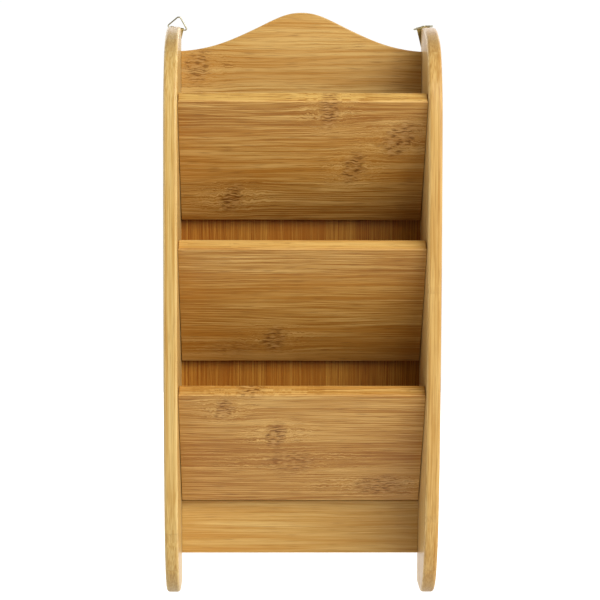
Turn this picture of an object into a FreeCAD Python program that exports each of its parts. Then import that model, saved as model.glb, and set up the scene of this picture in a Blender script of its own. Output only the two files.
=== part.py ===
import FreeCAD, Part
import math
import os

# Bamboo wall rack with three slanted pockets and two triangle-ring hangers.
# Millimetres. X runs across the rack, Y out of the wall is negative, Z is up.
# The origin is on the wall plane, on the centre line, level with the side tops.

WIDTH = 189.0             # over the two sides
SIDE_T = 9.5              # thickness of a side
STOCK = 10.0              # thickness of the boards between them
SIDE_H = 400.0            # foot to side top
INSIDE = WIDTH - 2 * SIDE_T

SIDE_ROUND = 2.2          # rounding along a side's edges
HEEL_R = 2.5              # rear corner of a foot
CROWN_R = 3.0             # rear corner of a side's top
FOOT_FLAT = 26.0          # where the flat of a foot ends, out from the wall
# Front edge of a side from the foot up: radius and degrees of each smooth arc.
BOW = [(48, 55), (95, 22), (330, 10), (1837, 7), (84, 32), (36, 32), (130, 22)]

CREST_LOW = 337.0         # lower edge of the crest board above the feet
CREST_END = 383.0         # its height where it meets a side
CREST_PEAK = 410.0        # its height on the centre line
BOARD_EASE = 0.7          # easing of the long edges of crest and rail

RAIL_LOW = 23.7
RAIL_TOP = 62.2

PANEL_T = 5.0             # thin back panel
LAP = 8.0                 # overlap of the panel on crest and rail
GROOVE = 3.0              # depth of the groove in each side

LEAN = 37.0               # pocket fronts, degrees out from vertical
FRONT_L = 105.8           # pocket front along its slope
FRONT_TOP = 348.7         # front top corner of the highest pocket
PITCH = 100.3             # tier spacing
END_GAP = 0.2             # glue gap at each end of crest and rail
FRONT_GAP = (0.55, 0.1)   # gap at each end of a pocket front: at its foot, at its top
TOP_EASE = 1.2            # rounding along the top edges of a pocket front
FOOT_EASE = 0.5           # rounding along its lower front edge
REAR_END = 1.6            # rounding of its end edges towards the wall
FRONT_END = 0.4           # rounding of its other end edges

DOWEL_R = 3.0
DOWEL_L = 26.0
DOWEL_IN_SIDE = 7.0
GLUE = 0.04               # radial glue gap round a dowel

WIRE_R = 0.5              # hanger ring wire
RING_HALF = 7.7           # half of the ring's base, on the wire's centre line
RING_H = 9.2              # pivot to apex
SHEET = 0.6               # hanger strap sheet
KNUCKLE_R = 0.58          # bore of the rolled end
STRAP_HALF = 4.75         # half width at the rolled end
STRAP_TIP = 4.0           # half width round the screw
SCREW_DOWN = 13.5         # pivot to screw
SCREW_R = 1.3
SCREW_L = 12.0
HEAD_R = 2.75
HEAD_H = 1.5

PIVOT_OUT = KNUCKLE_R + SHEET
LEFT_PIVOT = (-88.1, -1.2)
RIGHT_PIVOT = (86.6, -0.1)
TILT = 10.5               # the straps lean inwards at the top
RIGHT_LEAN = 83.0         # the right ring lies forward over the wood

V = FreeCAD.Vector
X_AXIS = V(1, 0, 0)
Y_AXIS = V(0, 1, 0)
ORIGIN = V(0, 0, 0)


def at(x, depth, height):
    """A point from its distance out of the wall and its height above the feet."""
    return V(x, -depth, height - SIDE_H)


def along_slope(x, corner, up, through):
    """A point measured from a pocket front's lower front corner."""
    a = math.radians(LEAN)
    depth = corner[0] + up * math.sin(a) - through * math.cos(a)
    height = corner[1] + up * math.cos(a) + through * math.sin(a)
    return at(x, depth, height)


def pocket_corner(tier):
    """Lower front corner (depth, height) of a pocket front, tier 0 at the top."""
    a = math.radians(LEAN)
    return (STOCK + STOCK * math.cos(a), FRONT_TOP - tier * PITCH - FRONT_L * math.cos(a))


def dowel_centres():
    """(depth, height) of every dowel axis, two for each cross board."""
    spots = [(STOCK / 2, 352.0), (STOCK / 2, 374.0)]
    spots += [(STOCK / 2, RAIL_LOW + 9.0), (STOCK / 2, RAIL_LOW + 27.0)]
    for tier in range(3):
        for up in (FRONT_L * 0.25, FRONT_L * 0.75):
            p = along_slope(0, pocket_corner(tier), up, STOCK / 2)
            spots.append((-p.y, p.z + SIDE_H))
    return spots


def cylinders(radius, reach_in, reach_out):
    """Dowel-shaped solids across both side joints."""
    solids = []
    for depth, height in dowel_centres():
        for hand in (-1, 1):
            start = at(hand * (INSIDE / 2 + reach_out), depth, height)
            solids.append(Part.makeCylinder(radius, reach_in + reach_out, start, V(-hand, 0, 0)))
    return solids


def dowel_holes():
    slack = 0.3
    reach_in = DOWEL_L - DOWEL_IN_SIDE + slack
    return cylinders(DOWEL_R + GLUE, reach_in, DOWEL_IN_SIDE + slack)


def edges_near(shape, test):
    return [e for e in shape.Edges if test(e)]


def tangent_chain(x, start, arcs):
    """Arcs that follow on smoothly from a flat start; each is (radius, degrees turned)."""
    depth, height = start
    heading = 0.0
    edges = []
    for radius, turn in arcs:
        marks = [heading, heading + turn / 2, heading + turn]
        spots = []
        for mark in marks:
            d = depth + radius * (math.sin(math.radians(mark)) - math.sin(math.radians(heading)))
            h = height + radius * (math.cos(math.radians(heading)) - math.cos(math.radians(mark)))
            spots.append((d, h))
        edges.append(Part.Arc(*[at(x, d, h) for d, h in spots]))
        depth, height = spots[2]
        heading = marks[2]
    return edges, (depth, height)


def side_outline(x):
    """Closed profile of a side: flat back, flat foot, bowed front edge."""
    edges, end = tangent_chain(x, (FOOT_FLAT, 0), BOW)
    r = CROWN_R
    k = r * (1 - math.sqrt(0.5))
    edges.append(Part.LineSegment(at(x, *end), at(x, r, end[1])))
    edges.append(Part.Arc(at(x, r, end[1]), at(x, k, end[1] - k), at(x, 0, end[1] - r)))
    edges.append(Part.LineSegment(at(x, 0, end[1] - r), at(x, 0, HEEL_R)))
    mid = HEEL_R * (1 - math.sqrt(0.5))
    edges.append(Part.Arc(at(x, 0, HEEL_R), at(x, mid, mid), at(x, HEEL_R, 0)))
    edges.append(Part.LineSegment(at(x, HEEL_R, 0), at(x, FOOT_FLAT, 0)))
    return Part.Wire([c.toShape() for c in edges])


def make_side(hand):
    x = -WIDTH / 2 if hand < 0 else INSIDE / 2
    board = Part.Face(side_outline(x)).extrude(V(SIDE_T, 0, 0))
    board = board.makeFillet(SIDE_ROUND, edges_near(board, lambda e: e.BoundBox.XLength < 0.01))
    x0 = INSIDE / 2 if hand > 0 else -INSIDE / 2 - GROOVE
    low, high = RAIL_TOP - 0.4, CREST_LOW + LAP + 0.4
    groove = Part.makeBox(GROOVE, PANEL_T, high - low, at(x0, STOCK, low))
    board = board.cut(groove)
    for hole in dowel_holes():
        if hole.BoundBox.intersect(board.BoundBox):
            board = board.cut(hole)
    return board.cut(pilot_hole(hand)).removeSplitter()


def crest_outline():
    """Ogee top edge: low shoulders, straight flanks, round dome."""
    half = INSIDE / 2 - END_GAP
    rise = [(0, CREST_PEAK), (9, 409.0), (18, 405.8), (30, 400.0), (45, 393.0), (58, 388.0),
            (72, 384.5), (half, CREST_END)]
    points = [at(-x, 0, h) for x, h in reversed(rise)] + [at(x, 0, h) for x, h in rise[1:]]
    top = Part.BSplineCurve()
    top.interpolate(points)
    a, b = at(-half, 0, CREST_LOW), at(half, 0, CREST_LOW)
    lines = [Part.LineSegment(points[-1], b), Part.LineSegment(b, a), Part.LineSegment(a, points[0])]
    return Part.Wire([c.toShape() for c in [top] + lines])


def lap_cut(low, high):
    """Rebate in the front of crest or rail that takes the back panel."""
    return Part.makeBox(WIDTH, PANEL_T + 1, high - low, at(-WIDTH / 2, STOCK + 1, low))


def make_crest():
    board = Part.Face(crest_outline()).extrude(V(0, -STOCK, 0))

    def on_top(edge):
        return edge.BoundBox.YLength < 0.01 and edge.BoundBox.ZMax > CREST_PEAK - SIDE_H - 1

    board = board.makeFillet(BOARD_EASE, edges_near(board, on_top))
    board = board.cut(lap_cut(CREST_LOW - 1, CREST_LOW + LAP))
    return drilled(board)


def make_rail():
    half = INSIDE / 2 - END_GAP
    board = Part.makeBox(2 * half, STOCK, RAIL_TOP - RAIL_LOW, at(-half, STOCK, RAIL_LOW))

    def along(edge):
        return edge.BoundBox.XLength > INSIDE / 2

    board = board.makeFillet(BOARD_EASE, edges_near(board, along))
    tongue = Part.makeBox(2 * half, STOCK - PANEL_T, LAP + 4, at(-half, STOCK - PANEL_T, RAIL_TOP - 4))
    return drilled(board.fuse(tongue).removeSplitter())


def make_panel():
    """Thin sheet let into the sides, lapped over the rail's tongue and into the crest."""
    slip = 0.15
    half = INSIDE / 2 + GROOVE - slip
    low, high = RAIL_TOP + 0.1, CREST_LOW + LAP - 0.1
    return Part.makeBox(2 * half, PANEL_T - slip, high - low, at(-half, STOCK - slip / 2, low))


def make_front(tier):
    """Board between the sides, a touch narrower at its foot than at its top."""
    corner = pocket_corner(tier)
    low, high = (INSIDE / 2 - gap for gap in FRONT_GAP)
    ring = [(-low, 0), (low, 0), (high, FRONT_L), (-high, FRONT_L), (-low, 0)]
    wire = Part.makePolygon([along_slope(x, corner, up, 0) for x, up in ring])
    inward = along_slope(0, corner, 0, STOCK) - along_slope(0, corner, 0, 0)
    board = Part.Face(wire).extrude(inward)
    foot = along_slope(0, corner, 0, 0)
    top = along_slope(0, corner, FRONT_L / 2, 0)

    def is_long(edge):
        return edge.BoundBox.XLength > INSIDE / 2

    def inset(edge):
        return (edge.CenterOfMass - foot).dot(inward) / STOCK

    def rear_end(edge):
        return not is_long(edge) and edge.Length > STOCK + 1 and inset(edge) > STOCK - 0.1

    def top_edge(edge):
        return is_long(edge) and edge.CenterOfMass.z > top.z

    def foot_edge(edge):
        return is_long(edge) and inset(edge) < 0.1 and edge.CenterOfMass.z < top.z

    def end_edge(edge):
        return edge.BoundBox.XLength < 1 and inset(edge) < STOCK / 2

    board = board.makeFillet(REAR_END, edges_near(board, rear_end))
    board = board.makeFillet(TOP_EASE, edges_near(board, top_edge))
    board = board.makeFillet(FOOT_EASE, edges_near(board, foot_edge))
    board = board.makeFillet(FRONT_END, edges_near(board, end_edge))
    return drilled(board)


def drilled(board):
    for hole in dowel_holes():
        if hole.BoundBox.intersect(board.BoundBox):
            board = board.cut(hole)
    return board


def make_dowels():
    parts = []
    for solid in cylinders(DOWEL_R, DOWEL_L - DOWEL_IN_SIDE, DOWEL_IN_SIDE):
        parts.append(solid.makeChamfer(0.6, [e for e in solid.Edges if e.BoundBox.XLength < 0.01]))
    return Part.makeCompound(parts)


def hang(shape, hand, lean):
    """Move a hanger piece from the pivot at the origin to its place on a side."""
    shape = shape.copy()
    shape.rotate(ORIGIN, X_AXIS, lean)
    shape.rotate(ORIGIN, Y_AXIS, -hand * TILT)
    x, z = LEFT_PIVOT if hand < 0 else RIGHT_PIVOT
    shape.translate(V(x, PIVOT_OUT, z))
    return shape


def make_ring(hand, lean):
    """One bent wire; its two ends meet inside the rolled end of the strap."""
    gap = 0.15
    corners = [V(RING_HALF, 0, 0), V(0, 0, RING_H), V(-RING_HALF, 0, 0)]
    radii = [1.0, 1.8, 1.0]
    start, end = V(gap, 0, 0), V(-gap, 0, 0)
    chain = [start] + corners + [end]
    parts, last = [], start
    for i, radius in enumerate(radii, 1):
        into = (chain[i - 1] - chain[i]).normalize()
        out = (chain[i + 1] - chain[i]).normalize()
        half = into.getAngle(out) / 2
        cut = radius / math.tan(half)
        mid_dir = (into + out).normalize()
        mid = chain[i] + mid_dir * (radius / math.sin(half) - radius)
        p, q = chain[i] + into * cut, chain[i] + out * cut
        parts += [Part.LineSegment(last, p), Part.Arc(p, mid, q)]
        last = q
    parts.append(Part.LineSegment(last, end))
    path = Part.Wire([c.toShape() for c in parts])
    section = Part.Wire(Part.Circle(start, X_AXIS, WIRE_R).toShape())
    return hang(path.makePipeShell([section], True, False), hand, lean)


def make_strap(hand):
    """Leaf flat on the wood, rolled round the ring's base, one screw hole."""
    outer = KNUCKLE_R + SHEET
    top = [V(-STRAP_HALF, -outer, 0), V(STRAP_HALF, -outer, 0)]
    low = [V(STRAP_TIP, -outer, -SCREW_DOWN), V(-STRAP_TIP, -outer, -SCREW_DOWN)]
    tip = Part.Arc(low[0], V(0, -outer, -SCREW_DOWN - STRAP_TIP), low[1])
    sides = [Part.LineSegment(low[1], top[0]), Part.LineSegment(top[0], top[1]),
             Part.LineSegment(top[1], low[0])]
    leaf = Part.Face(Part.Wire([c.toShape() for c in sides + [tip]])).extrude(V(0, SHEET, 0))
    roll = Part.makeCylinder(outer, 2 * STRAP_HALF, V(-STRAP_HALF, 0, 0), X_AXIS)
    strap = leaf.fuse(roll)
    strap = strap.cut(Part.makeCylinder(KNUCKLE_R, 2 * STRAP_HALF + 2, V(-STRAP_HALF - 1, 0, 0), X_AXIS))
    mouth = Part.makeBox(2 * STRAP_HALF + 2, 1.6, 1.2, V(-STRAP_HALF - 1, -0.3, -1.7))
    hole = Part.makeCylinder(SCREW_R + 0.2, 4, V(0, -2, -SCREW_DOWN), Y_AXIS)
    return hang(strap.cut(mouth).cut(hole).removeSplitter(), hand, 0)


def screw_tool(radius, length):
    """Shank and point below the head's seat, along -Y from the strap's outer face."""
    seat = -KNUCKLE_R
    shank = Part.makeCylinder(radius, length - 3, V(0, seat, -SCREW_DOWN), V(0, -1, 0))
    point = Part.makeCone(radius, 0.2, 3, V(0, seat - length + 3, -SCREW_DOWN), V(0, -1, 0))
    return shank.fuse(point)


def pilot_hole(hand):
    return hang(screw_tool(SCREW_R + GLUE, SCREW_L + 0.3), hand, 0)


def make_screw(hand):
    """Pan-head wood screw with a cross recess."""
    seat = V(0, -KNUCKLE_R, -SCREW_DOWN)
    head = Part.makeCylinder(HEAD_R, HEAD_H, seat, Y_AXIS)
    face = [e for e in head.Edges if e.BoundBox.YLength < 0.01 and e.CenterOfMass.y > -KNUCKLE_R + 1]
    head = head.makeFillet(1.0, face)
    for size in ((3.0, 0.6), (0.6, 3.0)):
        low = V(-size[0] / 2, HEAD_H - KNUCKLE_R - 0.9, -SCREW_DOWN - size[1] / 2)
        head = head.cut(Part.makeBox(size[0], 2, size[1], low))
    return hang(head.fuse(screw_tool(SCREW_R, SCREW_L)).removeSplitter(), hand, 0)


def main():
    os.makedirs("parts", exist_ok=True)
    nodes = {
        "left_side": make_side(-1),
        "right_side": make_side(1),
        "crest_board": make_crest(),
        "back_panel": make_panel(),
        "bottom_rail": make_rail(),
        "front_top": make_front(0),
        "front_middle": make_front(1),
        "front_bottom": make_front(2),
        "dowels": make_dowels(),
        "strap_left": make_strap(-1),
        "strap_right": make_strap(1),
        "ring_left": make_ring(-1, 0),
        "ring_right": make_ring(1, RIGHT_LEAN),
        "hanger_screws": Part.makeCompound([make_screw(-1), make_screw(1)]),
    }
    for name, shape in nodes.items():
        shape.exportStep("parts/" + name + ".step")
        box = shape.BoundBox
        print(name, shape.isValid(), len(shape.Solids), round(shape.Volume, 1),
              [round(v, 2) for v in (box.XMin, box.XMax, box.YMin, box.YMax, box.ZMin, box.ZMax)])


main()
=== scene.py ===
import math

import bpy
from mathutils import Matrix, Vector


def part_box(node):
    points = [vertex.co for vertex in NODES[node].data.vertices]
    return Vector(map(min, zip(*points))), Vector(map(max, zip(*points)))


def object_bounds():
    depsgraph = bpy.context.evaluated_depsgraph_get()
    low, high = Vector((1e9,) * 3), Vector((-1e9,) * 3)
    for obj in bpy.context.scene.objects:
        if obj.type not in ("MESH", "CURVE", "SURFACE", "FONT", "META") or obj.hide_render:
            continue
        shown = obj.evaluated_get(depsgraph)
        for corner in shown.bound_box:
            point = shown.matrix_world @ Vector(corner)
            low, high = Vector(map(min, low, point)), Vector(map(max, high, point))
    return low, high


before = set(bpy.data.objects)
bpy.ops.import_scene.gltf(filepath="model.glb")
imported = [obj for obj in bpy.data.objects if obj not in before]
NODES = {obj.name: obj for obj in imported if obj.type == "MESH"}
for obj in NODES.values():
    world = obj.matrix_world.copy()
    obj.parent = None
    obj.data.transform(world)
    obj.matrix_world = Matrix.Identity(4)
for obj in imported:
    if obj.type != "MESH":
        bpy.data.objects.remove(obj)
CAD_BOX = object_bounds()
X, Y, Z = (1, 0, 0), (0, 1, 0), (0, 0, 1)
MM = 1000.0                                      # millimetres in a metre
LEAN = math.radians(37.0)                        # of the pocket fronts, out from vertical
SLOPE = (0, -math.sin(LEAN), math.cos(LEAN))     # up along a pocket front
TURNED = (0.55, 0.90)                            # cosines between which a surface turns to face a way


def centre(node):
    """The middle of a node's box."""
    lo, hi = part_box(node)
    return (Vector(lo) + Vector(hi)) / 2


# ---------------------------------------------------------------- node helpers

class Graph:
    """A short way to write shader nodes."""

    def __init__(self, name):
        self.mat = bpy.data.materials.new(name)
        self.mat.use_nodes = True
        self.tree = self.mat.node_tree
        self.tree.nodes.clear()
        self.out = self.tree.nodes.new("ShaderNodeOutputMaterial")
        self.bsdf = self.tree.nodes.new("ShaderNodeBsdfPrincipled")
        self.tree.links.new(self.bsdf.outputs["BSDF"], self.out.inputs["Surface"])

    def node(self, kind, **values):
        n = self.tree.nodes.new(kind)
        for key, value in values.items():
            setattr(n, key, value)
        return n

    def put(self, socket, value):
        if isinstance(value, bpy.types.NodeSocket):
            self.tree.links.new(value, socket)
        else:
            socket.default_value = value

    def math(self, op, a, b=0.0, c=None, clamp=False):
        n = self.node("ShaderNodeMath", operation=op, use_clamp=clamp)
        self.put(n.inputs[0], a)
        self.put(n.inputs[1], b)
        if c is not None:
            self.put(n.inputs[2], c)
        return n.outputs[0]

    def vec(self, op, a, b=(0, 0, 0)):
        n = self.node("ShaderNodeVectorMath", operation=op)
        self.put(n.inputs[0], a)
        self.put(n.inputs[1], b)
        return n.outputs["Value" if op in ("DOT_PRODUCT", "LENGTH") else "Vector"]

    def join(self, x, y, z):
        n = self.node("ShaderNodeCombineXYZ")
        for socket, value in zip(n.inputs, (x, y, z)):
            self.put(socket, value)
        return n.outputs[0]

    def noise(self, vector, scale, detail, rough=0.5):
        n = self.node("ShaderNodeTexNoise")
        self.put(n.inputs["Vector"], vector)
        n.inputs["Scale"].default_value = scale
        n.inputs["Detail"].default_value = detail
        n.inputs["Roughness"].default_value = rough
        return n.outputs["Fac"]

    def random(self, x, y, z):
        n = self.node("ShaderNodeTexWhiteNoise", noise_dimensions="3D")
        self.put(n.inputs["Vector"], self.join(x, y, z))
        return n.outputs["Value"]

    def ramp(self, value, low, high, out_low=0.0, out_high=1.0, smooth=True):
        n = self.node("ShaderNodeMapRange")
        n.interpolation_type = "SMOOTHSTEP" if smooth else "LINEAR"
        for i, v in enumerate((value, low, high, out_low, out_high)):
            self.put(n.inputs[i], v)
        return n.outputs[0]

    def mix(self, fac, a, b, blend="MIX"):
        n = self.node("ShaderNodeMix", data_type="RGBA", blend_type=blend)
        self.put(n.inputs[0], fac)
        for socket, value in ((n.inputs[6], a), (n.inputs[7], b)):
            if not isinstance(value, bpy.types.NodeSocket):
                value = tuple(value) + (1.0,) * (4 - len(value))
            self.put(socket, value)
        return n.outputs[2]

    def swing(self, noise, amount, base=0.0):
        """The base, moved either way by up to half the amount as a noise goes from 0 to 1."""
        return self.math("MULTIPLY_ADD", self.math("SUBTRACT", noise, 0.5), amount, base)

    def stretch(self, u, v, rate, z):
        """Where to read a noise that has rate features in a millimetre along u and along v."""
        return self.join(self.math("MULTIPLY", u, rate[0]), self.math("MULTIPLY", v, rate[1]), z)

    def facing(self, normal, direction):
        """1 where the surface faces the direction, falling to 0 as it turns away."""
        return self.ramp(self.vec("DOT_PRODUCT", normal, direction), *TURNED)

    def millimetres(self):
        """Places in the frame, in millimetres."""
        place = self.vec("SCALE", self.node("ShaderNodeTexCoord").outputs["Object"])
        place.node.inputs["Scale"].default_value = MM
        return place

    def bump(self, height, distance, strength):
        n = self.node("ShaderNodeBump")
        n.inputs["Strength"].default_value = strength
        n.inputs["Distance"].default_value = distance
        self.put(n.inputs["Height"], height)
        return n.outputs["Normal"]


# ---------------------------------------------------------------- bamboo

# Linear colours of the wood: PALE, MID and DEEP in the order of its tone, AMBER in some strips.
PALE = (0.580, 0.350, 0.105)
MID = (0.440, 0.226, 0.048)
DEEP = (0.300, 0.115, 0.013)
AMBER = (0.420, 0.178, 0.024)
DARK = (0.150, 0.054, 0.007)         # fibre ends and glue lines
CREAM = (0.640, 0.420, 0.150)        # rounded edges: sanded lighter, and a painted highlight
CUT = (0.300, 0.190, 0.080)          # end grain
CUT_PORE = (0.220, 0.135, 0.055)
PORE = (6.0, 0.55, 0.55)             # length, width and depth of a pore, mm
NODE_BASE = (0.300, 0.130, 0.024)    # nodes of the cane, and the dashes on them
NODE_PALE = (0.540, 0.320, 0.110)
NODE_DARK = (0.130, 0.042, 0.002)

STRIP = 24.7                         # width of a glued strip, mm
PLY = 3.34                           # thickness of a layer of strips, mm
GRAIN_START = 400.0                  # strips are cut from anywhere along this much cane, mm
GRAIN_JUMP = 61.0                    # and from as many streaks' widths across it
PLY_START = 5.0                      # where the layers are counted from, mm
COAT_WEIGHT, COAT_ROUGH = 0.20, 0.20

# Streaks of the grain: length and width in mm, seed offset, noise detail and roughness.
BANDS = (130.0, 4.6, 0.0, 1.0, 0.55)
LINES = (75.0, 0.85, 5.0, 1.0, 0.50)
FIBRES = (34.0, 0.52, 9.0, 1.0, 0.55)
TICKS = (15.0, 0.50, 14.0, 0.0, 0.55)
# How much each of the first three moves the tone.
BAND_TONE, LINE_TONE, FIBRE_TONE = 0.84, 0.76, 1.15
FLAT_GAIN = 0.6                      # stronger grain on the broad faces of a curved board
HALO_TONE = 0.10                     # paler patch beside a node of the cane
# How strongly each of these colours is laid over the wood.
AMBER_MIX, FIBRE_END_MIX, GLUE_MIX, CUT_MIX = 0.55, 0.45, 0.22, 0.36
NODE_BASE_MIX, NODE_PALE_MIX, NODE_DARK_MIX = 0.50, 0.50, 0.86
# Roughness, and what fibres, nodes of the cane and end grain add to it.
ROUGH, ROUGH_FIBRES, ROUGH_NODES, ROUGH_END = 0.36, 0.18, 0.07, 0.12
GRAIN_BUMP = (0.00012, 0.55)         # height in metres, and strength

# How far these swing to and fro, mm: the fibres along a board, the outline of a node of the cane,
# the dashes on it, and the fibres' curl, in plain wood and how much more at a node.
FIBRE_SWING, NODE_SWING, DASH_SWING = 6.0, 14.0, 3.4
CURL, NODE_CURL = 0.6, 7.0
# The rate of each swing: features in a millimetre along the grain and across it.
FIBRE_RATE, NODE_RATE, WAVE_RATE, CURL_RATE = (0.009, 0.03), (0.16, 0.22), (0.15, 0.08), (0.17, 0.26)
DASH_RATE = (0.14, 0.82)             # of the dashes themselves
DASH_SLANT = 0.8                     # how far the dashes shift across the grain with depth
NODE_REACH = (0.62, 0.60)            # of a node, in its widths and heights
PATCH_REACH = (2.30, 0.80)           # of the patch round a node where the fibres part
PARTING = 0.22                       # how far they part


def cane_nodes(g, u, v, knots, seed):
    """How strongly each place belongs to a node of the cane, and to the patch round one; and v as
    the fibres see it, since they swing along the board and part round every node."""
    swing = g.noise(g.stretch(u, v, FIBRE_RATE, seed), 1.0, 1.0)
    fibre_v = g.swing(swing, FIBRE_SWING, v)
    wander = g.noise(g.stretch(u, v, NODE_RATE, seed + 2.0), 1.0, 2.0)
    knot, halo = 0.0, 0.0
    for knot_u, knot_v, wide, tall, slant, force in knots:
        dv = g.math("SUBTRACT", v, knot_v)
        du = g.math("SUBTRACT", g.math("SUBTRACT", u, knot_u), g.math("MULTIPLY", dv, slant))
        du = g.math("ADD", du, g.swing(wander, NODE_SWING))

        def distance(along, up):
            return g.vec("LENGTH", g.join(g.math("DIVIDE", du, along * wide),
                                          g.math("DIVIDE", dv, up * tall), 0.0))

        core = g.ramp(distance(*NODE_REACH), 1.12, 0.50)
        near = g.ramp(distance(*PATCH_REACH), 1.15, 0.15)
        knot = g.math("MAXIMUM", knot, g.math("MULTIPLY", core, force))
        halo = g.math("MAXIMUM", halo, g.math("MULTIPLY", near, force))
        parting = g.math("MULTIPLY", g.math("MULTIPLY", dv, near), PARTING * force)
        fibre_v = g.math("SUBTRACT", fibre_v, parting)
    curl = g.noise(g.stretch(u, v, CURL_RATE, seed + 3.0), 1.0, 3.0, 0.6)
    return knot, halo, g.swing(curl, g.math("MULTIPLY_ADD", halo, NODE_CURL, CURL), fibre_v)


def add_dashes(g, colour, u, v, w, knot, dash, seed):
    """A node of the cane: short wavy dashes, dark with pale flecks between them."""
    slanted = g.math("MULTIPLY_ADD", w, DASH_SLANT, v)
    wave = g.noise(g.stretch(u, slanted, WAVE_RATE, seed + 21.0), 1.0, 1.0)
    line = g.swing(wave, DASH_SWING, slanted)
    dashes = g.noise(g.stretch(u, line, DASH_RATE, seed + 25.0), 1.0, 1.0, 0.6)
    force = g.math("MULTIPLY", knot, dash)
    dark = g.math("MULTIPLY", g.ramp(dashes, 0.475, 0.40), force)
    pale = g.math("MULTIPLY", g.ramp(dashes, 0.53, 0.62), force)
    colour = g.mix(g.math("MULTIPLY", knot, NODE_BASE_MIX * dash), colour, NODE_BASE)
    colour = g.mix(g.math("MULTIPLY", pale, NODE_PALE_MIX), colour, NODE_PALE)
    colour = g.mix(g.math("MULTIPLY", dark, NODE_DARK_MIX), colour, NODE_DARK)
    return colour, dark


def add_edges(g, colour, u, v, w, end, turned, lines, edge):
    """Fibre ends cut across the grain look greyer; rounded edges are lighter: wear and painted
    highlight.
    """
    along, over, through = (g.math("DIVIDE", part, size) for part, size in zip((u, v, w), PORE))
    pores = g.noise(g.join(along, over, through), 1.0, 1.0)
    cut = g.mix(g.ramp(pores, 0.50, 0.68), CUT, CUT_PORE)
    colour = g.mix(g.math("MULTIPLY", end, CUT_MIX), colour, cut)
    rest = g.math("SUBTRACT", 1.0, g.math("MULTIPLY", turned, turned), clamp=True)
    rounding = g.math("MULTIPLY", turned, g.math("SQRT", rest))
    # Rounded edges lighter: partly sanded wear, partly a painted highlight.
    worn_and_lit = g.math("MULTIPLY", g.ramp(rounding, 0.20, 0.49), g.ramp(lines, 0.0, 0.8, 0.5, 1.0))
    return g.mix(g.math("MULTIPLY", worn_and_lit, edge), colour, CREAM)


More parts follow.
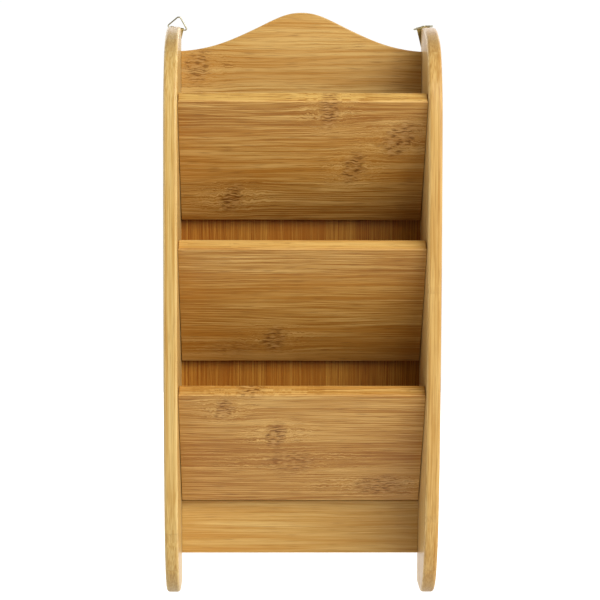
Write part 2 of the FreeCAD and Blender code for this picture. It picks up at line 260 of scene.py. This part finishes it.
def bamboo(node, name, grain, across, seed, strip=STRIP, ply=PLY, shift=0.0, knots=(), dash=1.0,
           tone=0.0, warm=0.0, tint=(1.0, 1.0, 1.0), ply_tone=0.34, contrast=1.0, edge=0.35,
           top_light=0.0, faces=(), gloss=0.20, broad=1.0, narrow=1.0):
    """Clear-lacquered strip bamboo. Coordinates are millimetres from the node's centre: u along
    the grain, v across the glued strips, w through the board.

    strip, ply, shift: width and thickness of the strips in mm, and how far they are moved
    knots, dash: (u, v, width, height, slant, force) of the nodes of the cane; force of their dashes
    tone, warm, tint: how much lighter, how much more amber, and a colour over all
    ply_tone, contrast: how far the strips differ in tone, and how strong the grain is
    edge, lip: how much lighter rounded edges are (wear and painted highlight), and top edges (painted
    light)
    faces: (direction, colour) pairs, painted light and shade: a colour laid over surfaces turned that
    way
    gloss: specular level of the wood under the lacquer
    broad, narrow: width of the streaks, 1 being the usual, round curved edges and elsewhere
    """
    g = Graph(name)
    grain, across = Vector(grain), Vector(across)
    through = grain.cross(across)
    coords = g.node("ShaderNodeTexCoord")
    place = g.vec("SUBTRACT", coords.outputs["Object"], tuple(centre(node)))
    u, v, w = (g.math("MULTIPLY", g.vec("DOT_PRODUCT", place, tuple(d)), MM)
               for d in (grain, across, through))
    normal = g.node("ShaderNodeNewGeometry").outputs["Normal"]
    turned = g.math("ABSOLUTE", g.vec("DOT_PRODUCT", normal, tuple(through)))
    flat = g.ramp(turned, *TURNED)
    end = g.ramp(g.math("ABSOLUTE", g.vec("DOT_PRODUCT", normal, tuple(grain))), 0.35, 0.95)
    top = g.facing(normal, Z)

    # Every strip was cut from a different place, so its tone differs and its grain starts elsewhere.
    in_strips = g.math("DIVIDE", g.math("ADD", v, shift), strip)
    row = g.math("FLOOR", in_strips)
    layer = g.math("FLOOR", g.math("DIVIDE", g.math("ADD", w, PLY_START), ply))
    strip_tone = g.random(row, g.math("MULTIPLY", layer, 1.7), seed)
    strip_hue = g.random(row, layer, seed + 11.3)
    jump = g.math("MULTIPLY", strip_tone, GRAIN_JUMP)
    fibre_u = g.math("ADD", u, g.math("MULTIPLY", strip_hue, GRAIN_START))
    knot, halo, fibre_v = cane_nodes(g, u, v, knots, seed)

    def streak(along, wide, offset, detail, rough):
        """Noise drawn out along the grain: features about `along` by `wide` mm."""
        def drawn(spread):
            return g.noise(g.join(g.math("DIVIDE", fibre_u, along),
                                  g.math("ADD", g.math("DIVIDE", fibre_v, wide * spread), jump),
                                  g.math("ADD", g.math("DIVIDE", w, wide), seed + offset)),
                           1.0, detail, rough)

        fine = drawn(narrow)
        if broad == 1.0:
            return fine
        # Round a curved edge the grain runs out, and its streaks are drawn out too.
        long = drawn(broad)
        return g.math("MULTIPLY_ADD", flat, g.math("SUBTRACT", fine, long), long)

    bands = streak(*BANDS)
    lines = g.ramp(streak(*LINES), 0.30, 0.70)
    fibres = streak(*FIBRES)
    ticks = streak(*TICKS)

    figure = 0.0
    for part, amount in ((bands, BAND_TONE), (lines, LINE_TONE), (fibres, FIBRE_TONE)):
        figure = g.swing(part, amount * contrast, figure)
    if broad != 1.0:
        figure = g.math("MULTIPLY", figure, g.math("MULTIPLY_ADD", flat, FLAT_GAIN, 1.0))
    value = g.math("ADD", g.swing(strip_tone, ply_tone, 0.5 + tone), figure)
    # Painted light: top edges, turned up, are lighter. A pale patch lies beside each node of the
    # cane.
    value = g.math("MULTIPLY_ADD", top, top_light, value)
    value = g.math("ADD", value, g.math("MULTIPLY", halo, HALO_TONE), clamp=True)

    colour = g.mix(g.ramp(value, 0.0, 0.52, smooth=False), DEEP, MID)
    colour = g.mix(g.ramp(value, 0.48, 1.0, smooth=False), colour, PALE)
    amber = g.ramp(g.swing(bands, -1.4, strip_hue), 0.35 - warm, 1.20 - warm)
    colour = g.mix(g.math("MULTIPLY", amber, AMBER_MIX), colour, AMBER)
    fibre_ends = g.math("MULTIPLY", g.ramp(ticks, 0.58, 0.76), FIBRE_END_MIX * contrast)
    colour = g.mix(fibre_ends, colour, DARK)
    colour, dashes = add_dashes(g, colour, u, v, w, knot, dash, seed)
    from_middle = g.math("ABSOLUTE", g.math("SUBTRACT", g.math("FRACT", in_strips), 0.5))
    glue_line = g.ramp(from_middle, 0.490, 0.4995)
    colour = g.mix(g.math("MULTIPLY", glue_line, GLUE_MIX), colour, DARK)
    colour = add_edges(g, colour, u, v, w, end, turned, lines, edge)
    # Painted light and shade: surfaces turned each listed way are made lighter or darker.
    for direction, shade in faces:
        colour = g.mix(g.facing(normal, direction), colour, shade, "MULTIPLY")
    colour = g.mix(1.0, colour, tint, "MULTIPLY")

    g.put(g.bsdf.inputs["Base Color"], colour)
    rough = ROUGH
    for part, amount in ((fibres, ROUGH_FIBRES), (knot, ROUGH_NODES), (end, ROUGH_END)):
        rough = g.math("MULTIPLY_ADD", part, amount, rough)
    g.put(g.bsdf.inputs["Roughness"], rough)
    g.bsdf.inputs["Specular IOR Level"].default_value = gloss
    g.bsdf.inputs["Coat Weight"].default_value = COAT_WEIGHT
    g.bsdf.inputs["Coat Roughness"].default_value = COAT_ROUGH
    height = g.math("MULTIPLY_ADD", fibres, 0.6, g.math("MULTIPLY", lines, 0.5))
    height = g.math("SUBTRACT", height, g.math("MULTIPLY", g.math("ADD", dashes, fibre_ends), 0.5))
    g.put(g.bsdf.inputs["Normal"], g.bump(height, *GRAIN_BUMP))
    return g.mat


# How the boards differ. Only the side boards have streaks drawn out round a curved edge.
SIDE = dict(grain=Z, across=Y, shift=-3.0, contrast=0.52, ply_tone=0.18, dash=0.35, broad=4.0)
FRONT = dict(grain=X, across=SLOPE, shift=18.0)
CROSS = dict(grain=X, across=Z)
# Each faces colour is painted light and shade, set by which way a surface turns.
BOARDS = {
    "left_side": dict(
        SIDE, name="bamboo_left_side", seed=2.0, tone=0.10, tint=(1.02, 1.19, 1.45),
        faces=[(X, (1.09, 1.11, 1.22))],
        knots=[(-152.0, -36.0, 6, 26, 0.1, 0.7), (38.0, 12.0, 11, 20, 0.2, 1.0),
               (-60.0, -14.0, 10, 20, 0.1, 0.9)]),
    "right_side": dict(
        SIDE, name="bamboo_right_side", seed=7.0, tone=0.08, tint=(0.97, 1.03, 1.12), edge=0.12,
        faces=[((-1, 0, 0), (1.22, 1.38, 1.80))],
        knots=[(21.0, -43.0, 5, 16, 0.2, 0.5), (-138.0, -38.0, 6, 20, 0.1, 0.7),
               (96.0, 6.0, 11, 20, 0.2, 1.0)]),
    "crest_board": dict(
        CROSS, name="bamboo_crest", seed=13.0, shift=14.0, tone=0.22, contrast=1.05, narrow=0.8,
        tint=(1.01, 1.07, 1.15), knots=[(-74.0, -1.0, 16, 24, 0.1, 0.75)]),
    "bottom_rail": dict(
        CROSS, name="bamboo_rail", seed=19.0, shift=4.0, tone=0.10, contrast=0.54, ply_tone=0.14,
        tint=(1.03, 1.14, 1.28)),
    "front_top": dict(
        FRONT, name="bamboo_front_top", seed=23.0, contrast=1.12, top_light=0.28,
        faces=[(Z, (1.02, 1.04, 0.92))],
        knots=[(18.0, 43.0, 12, 26, 0.05, 1.0), (66.5, 20.5, 18, 30, 0.3, 1.0),
               (35.6, -5.0, 13, 28, 0.2, 1.0), (-48.5, -32.0, 14, 25, 0.2, 1.0)]),
    "front_middle": dict(
        FRONT, name="bamboo_front_middle", seed=29.0, tone=-0.03, top_light=0.85,
        faces=[(Z, (1.06, 1.11, 1.12))],
        knots=[(-19.0, -31.0, 15, 24, 0.1, 0.95), (-48.0, -40.0, 34, 14, 0.1, 0.4)]),
    "front_bottom": dict(
        FRONT, name="bamboo_front_bottom", seed=37.0, tone=-0.10, top_light=0.36,
        knots=[(-53.5, 39.0, 11, 21, 0.0, 1.0), (-35.4, 57.0, 22, 12, 0.0, 1.0),
               (-17.5, 14.0, 14, 24, 0.1, 1.0), (-9.0, -12.0, 34, 24, 0.0, 0.55),
               (56.0, -37.0, 32, 18, 0.2, 0.8)]),
    # The back panel's tint is painted shade, a dark saturated orange for the shade between the
    # boards;
    # its faces colour lifts the rear back out of that painted shade.
    "back_panel": dict(
        name="bamboo_back_panel", grain=Z, across=X, seed=43.0, strip=21.0, ply=1.67, shift=3.0,
        warm=0.25, tone=-0.06, gloss=0.15, narrow=0.55, tint=(0.84, 0.66, 0.32),
        faces=[(Y, (1.12, 1.34, 2.00))]),
}


# ---------------------------------------------------------------- metal and dowel

TARNISH = (0.20, 0.13, 0.05)
CLOUDED = 0.72                       # brightness of the metal where it is clouded
METAL_BUMP, DOWEL_BUMP = (0.00004, 0.5), (0.0001, 0.5)
DOWEL_DARK, DOWEL_PALE, DOWEL_PORE = (0.50, 0.36, 0.20), (0.62, 0.48, 0.30), (0.30, 0.19, 0.09)


def brass(name, tint, base_rough):
    """Plated metal, clouded, with specks of tarnish and rubbed lines."""
    g = Graph(name)
    place = g.millimetres()
    cloud = g.noise(place, 0.35, 3.0, 0.6)
    speck = g.noise(place, 2.6, 3.0, 0.65)
    rub = g.noise(g.vec("MULTIPLY", place, (6.0, 1.2, 0.5)), 1.0, 2.0)
    colour = g.mix(g.ramp(cloud, 0.35, 0.70), tint, [c * CLOUDED for c in tint])
    colour = g.mix(g.math("MULTIPLY", g.ramp(speck, 0.58, 0.80), 0.45), colour, TARNISH)
    g.put(g.bsdf.inputs["Base Color"], colour)
    g.bsdf.inputs["Metallic"].default_value = 1.0
    rough = g.math("ADD", base_rough, g.math("MULTIPLY", g.math("SUBTRACT", cloud, 0.4), 0.30))
    rough = g.math("ADD", rough, g.math("MULTIPLY", rub, 0.10))
    g.put(g.bsdf.inputs["Roughness"], rough)
    g.put(g.bsdf.inputs["Normal"], g.bump(g.math("ADD", rub, speck), *METAL_BUMP))
    return g.mat


def dowel_wood():
    """Plain turned wood, grain along X."""
    g = Graph("dowel_wood")
    place = g.millimetres()
    line = g.noise(g.vec("MULTIPLY", place, (0.05, 0.9, 0.9)), 1.0, 3.0, 0.6)
    pore = g.noise(g.vec("MULTIPLY", place, (0.3, 3.0, 3.0)), 1.0, 1.0)
    colour = g.mix(g.ramp(line, 0.3, 0.7), DOWEL_DARK, DOWEL_PALE)
    colour = g.mix(g.math("MULTIPLY", g.ramp(pore, 0.6, 0.75), 0.5), colour, DOWEL_PORE)
    g.put(g.bsdf.inputs["Base Color"], colour)
    g.put(g.bsdf.inputs["Roughness"], g.math("ADD", 0.55, g.math("MULTIPLY", line, 0.2)))
    g.put(g.bsdf.inputs["Normal"], g.bump(line, *DOWEL_BUMP))
    return g.mat


def dress(node, material):
    """Give a node its one material."""
    obj = NODES[node]
    obj.data.materials.clear()
    obj.data.materials.append(material)


for board, look in BOARDS.items():
    dress(board, bamboo(board, **look))
dress("dowels", dowel_wood())
strap = brass("brass_strap", (0.42, 0.31, 0.11), 0.32)
wire = brass("brass_wire", (0.44, 0.41, 0.28), 0.30)
for hand in ("left", "right"):
    dress("strap_" + hand, strap)
    dress("ring_" + hand, wire)
dress("hanger_screws", brass("brass_screw", (0.46, 0.33, 0.13), 0.30))


# ---------------------------------------------------------------- stage

FLOOR_DROP, FLOOR_RADIUS, FLOOR_SIDES = 0.16, 2.2, 96
FLOOR_DARK, FLOOR_LIGHT, FLOOR_ROUGH = (0.70, 0.70, 0.70), (0.73, 0.73, 0.73), 0.9


def floor():
    """A pale disc so far below the feet that the shadow on it does not meet the rack."""
    z = CAD_BOX[0][2] - FLOOR_DROP
    turns = [math.tau * i / FLOOR_SIDES for i in range(FLOOR_SIDES)]
    ring = [(FLOOR_RADIUS * math.cos(t), FLOOR_RADIUS * math.sin(t), z) for t in turns]
    mesh = bpy.data.meshes.new("floor")
    mesh.from_pydata(ring, [], [tuple(range(FLOOR_SIDES))])
    obj = bpy.data.objects.new("floor", mesh)
    bpy.context.scene.collection.objects.link(obj)
    g = Graph("floor_pale")
    dust = g.noise(g.node("ShaderNodeTexCoord").outputs["Object"], 3.0, 3.0)
    g.put(g.bsdf.inputs["Base Color"], g.mix(dust, FLOOR_DARK, FLOOR_LIGHT))
    g.bsdf.inputs["Roughness"].default_value = FLOOR_ROUGH
    mesh.materials.append(g.mat)


def area(name, place, aim, size, power, colour=(1, 1, 1)):
    """A rectangular light that shines at the aim."""
    light = bpy.data.lights.new(name, "AREA")
    light.shape = "RECTANGLE"
    light.size, light.size_y = size
    light.energy = power
    light.color = colour
    obj = bpy.data.objects.new(name, light)
    obj.location = place
    obj.rotation_euler = (Vector(aim) - Vector(place)).to_track_quat("-Z", "Y").to_euler()
    bpy.context.scene.collection.objects.link(obj)


# How bright the room in front of the rack is, from the left (-1) to the right (1).
ROOM = ((-1.0, 2.4), (-0.92, 2.4), (-0.80, 1.5), (-0.65, 0.5), (-0.45, 0.14), (-0.2, 0.07),
        (0.15, 0.12), (0.5, 0.42), (0.8, 0.80), (1.0, 0.9))
ROOM_BEHIND, ROOM_OVERHEAD = 1.02, 0.30
OVERHEAD_Z = (0.25, 0.85)            # the room behind turns into overhead between these heights
BEHIND_Y = (-0.10, 0.25)             # and the room in front into behind between these depths

AIM = (0, -0.03, -0.2)               # near the middle of the rack
KEY_AZIMUTH, KEY_ELEVATION, KEY_DISTANCE = 38.0, 28.0, 3.0
KEY_SIZE, KEY_POWER, KEY_COLOUR = (3.0, 2.4), 131.0, (1.0, 0.985, 0.96)
# Shines straight down on the floor behind the rack, so that it comes out as white as the room.
BACKDROP_PLACE, BACKDROP_AIM = (0, 1.55, 0.38), (0, 1.5501, -1.0)
BACKDROP_SIZE, BACKDROP_POWER = (2.6, 1.9), 36.0


def from_aim(aim, azimuth, elevation, distance):
    """A point seen from the aim at so many degrees to the right of the front, and up."""
    a, e = math.radians(azimuth), math.radians(elevation)
    ray = Vector((math.sin(a) * math.cos(e), -math.cos(a) * math.cos(e), math.sin(e)))
    return tuple(Vector(aim) + ray * distance)


def studio():
    """White behind the rack; in front of it dim, with paler walls to the left and right."""
    world = bpy.data.worlds.new("studio")
    world.use_nodes = True
    tree = world.node_tree
    back = tree.nodes["Background"]
    split = tree.nodes.new("ShaderNodeSeparateXYZ")
    tree.links.new(tree.nodes.new("ShaderNodeTexCoord").outputs["Generated"], split.inputs[0])
    across = tree.nodes.new("ShaderNodeValToRGB")
    scale = tree.nodes.new("ShaderNodeMapRange")
    scale.inputs["From Min"].default_value = -1.0
    tree.links.new(split.outputs["X"], scale.inputs["Value"])
    tree.links.new(scale.outputs["Result"], across.inputs["Fac"])
    stops = across.color_ramp.elements
    for n, (x, level) in enumerate(ROOM):
        position = (x + 1) / 2
        stop = stops[n] if n < 2 else stops.new(position)
        stop.position = position
        stop.color = (level, level, level, 1)
    behind = tree.nodes.new("ShaderNodeMapRange")
    for socket, value in (("From Min", OVERHEAD_Z[0]), ("From Max", OVERHEAD_Z[1]),
                          ("To Min", ROOM_BEHIND), ("To Max", ROOM_OVERHEAD)):
        behind.inputs[socket].default_value = value
    tree.links.new(split.outputs["Z"], behind.inputs["Value"])
    ahead = tree.nodes.new("ShaderNodeMapRange")
    for socket, value in zip(("From Min", "From Max"), BEHIND_Y):
        ahead.inputs[socket].default_value = value
    tree.links.new(behind.outputs["Result"], ahead.inputs["To Max"])
    tree.links.new(split.outputs["Y"], ahead.inputs["Value"])
    tree.links.new(across.outputs["Color"], ahead.inputs["To Min"])
    tree.links.new(ahead.outputs["Result"], back.inputs["Strength"])
    back.inputs["Color"].default_value = (1, 1, 1, 1)
    bpy.context.scene.world = world
    area("key", from_aim(AIM, KEY_AZIMUTH, KEY_ELEVATION, KEY_DISTANCE), AIM,
         KEY_SIZE, KEY_POWER, KEY_COLOUR)
    area("backdrop", BACKDROP_PLACE, BACKDROP_AIM, BACKDROP_SIZE, BACKDROP_POWER)
    settings = bpy.context.scene.view_settings
    settings.view_transform = "Standard"
    settings.look = "None"


EYE = (-0.02644, -1.65, -0.03453)
YAW, PITCH, ROLL = 0.906, 5.528, 0.175       # degrees to the right, down, and anticlockwise
LENS, SENSOR = 138.7, 36.0                   # mm


def camera():
    """Almost straight on, from a little to the left of the middle, tipped down."""
    yaw, pitch, roll = (math.radians(angle) for angle in (YAW, PITCH, ROLL))
    forward = Vector((math.sin(yaw) * math.cos(pitch), math.cos(yaw) * math.cos(pitch),
                      -math.sin(pitch)))
    level = Vector((math.cos(yaw), -math.sin(yaw), 0))
    up = level.cross(forward)
    right = level * math.cos(roll) + up * math.sin(roll)
    up = up * math.cos(roll) - level * math.sin(roll)
    data = bpy.data.cameras.new("camera")
    data.sensor_width = SENSOR
    data.lens = LENS
    obj = bpy.data.objects.new("camera", data)
    turn = Matrix((right, up, -forward)).transposed()
    obj.matrix_world = Matrix.Translation(EYE) @ turn.to_4x4()
    bpy.context.scene.collection.objects.link(obj)
    bpy.context.scene.camera = obj


floor()
studio()
camera()
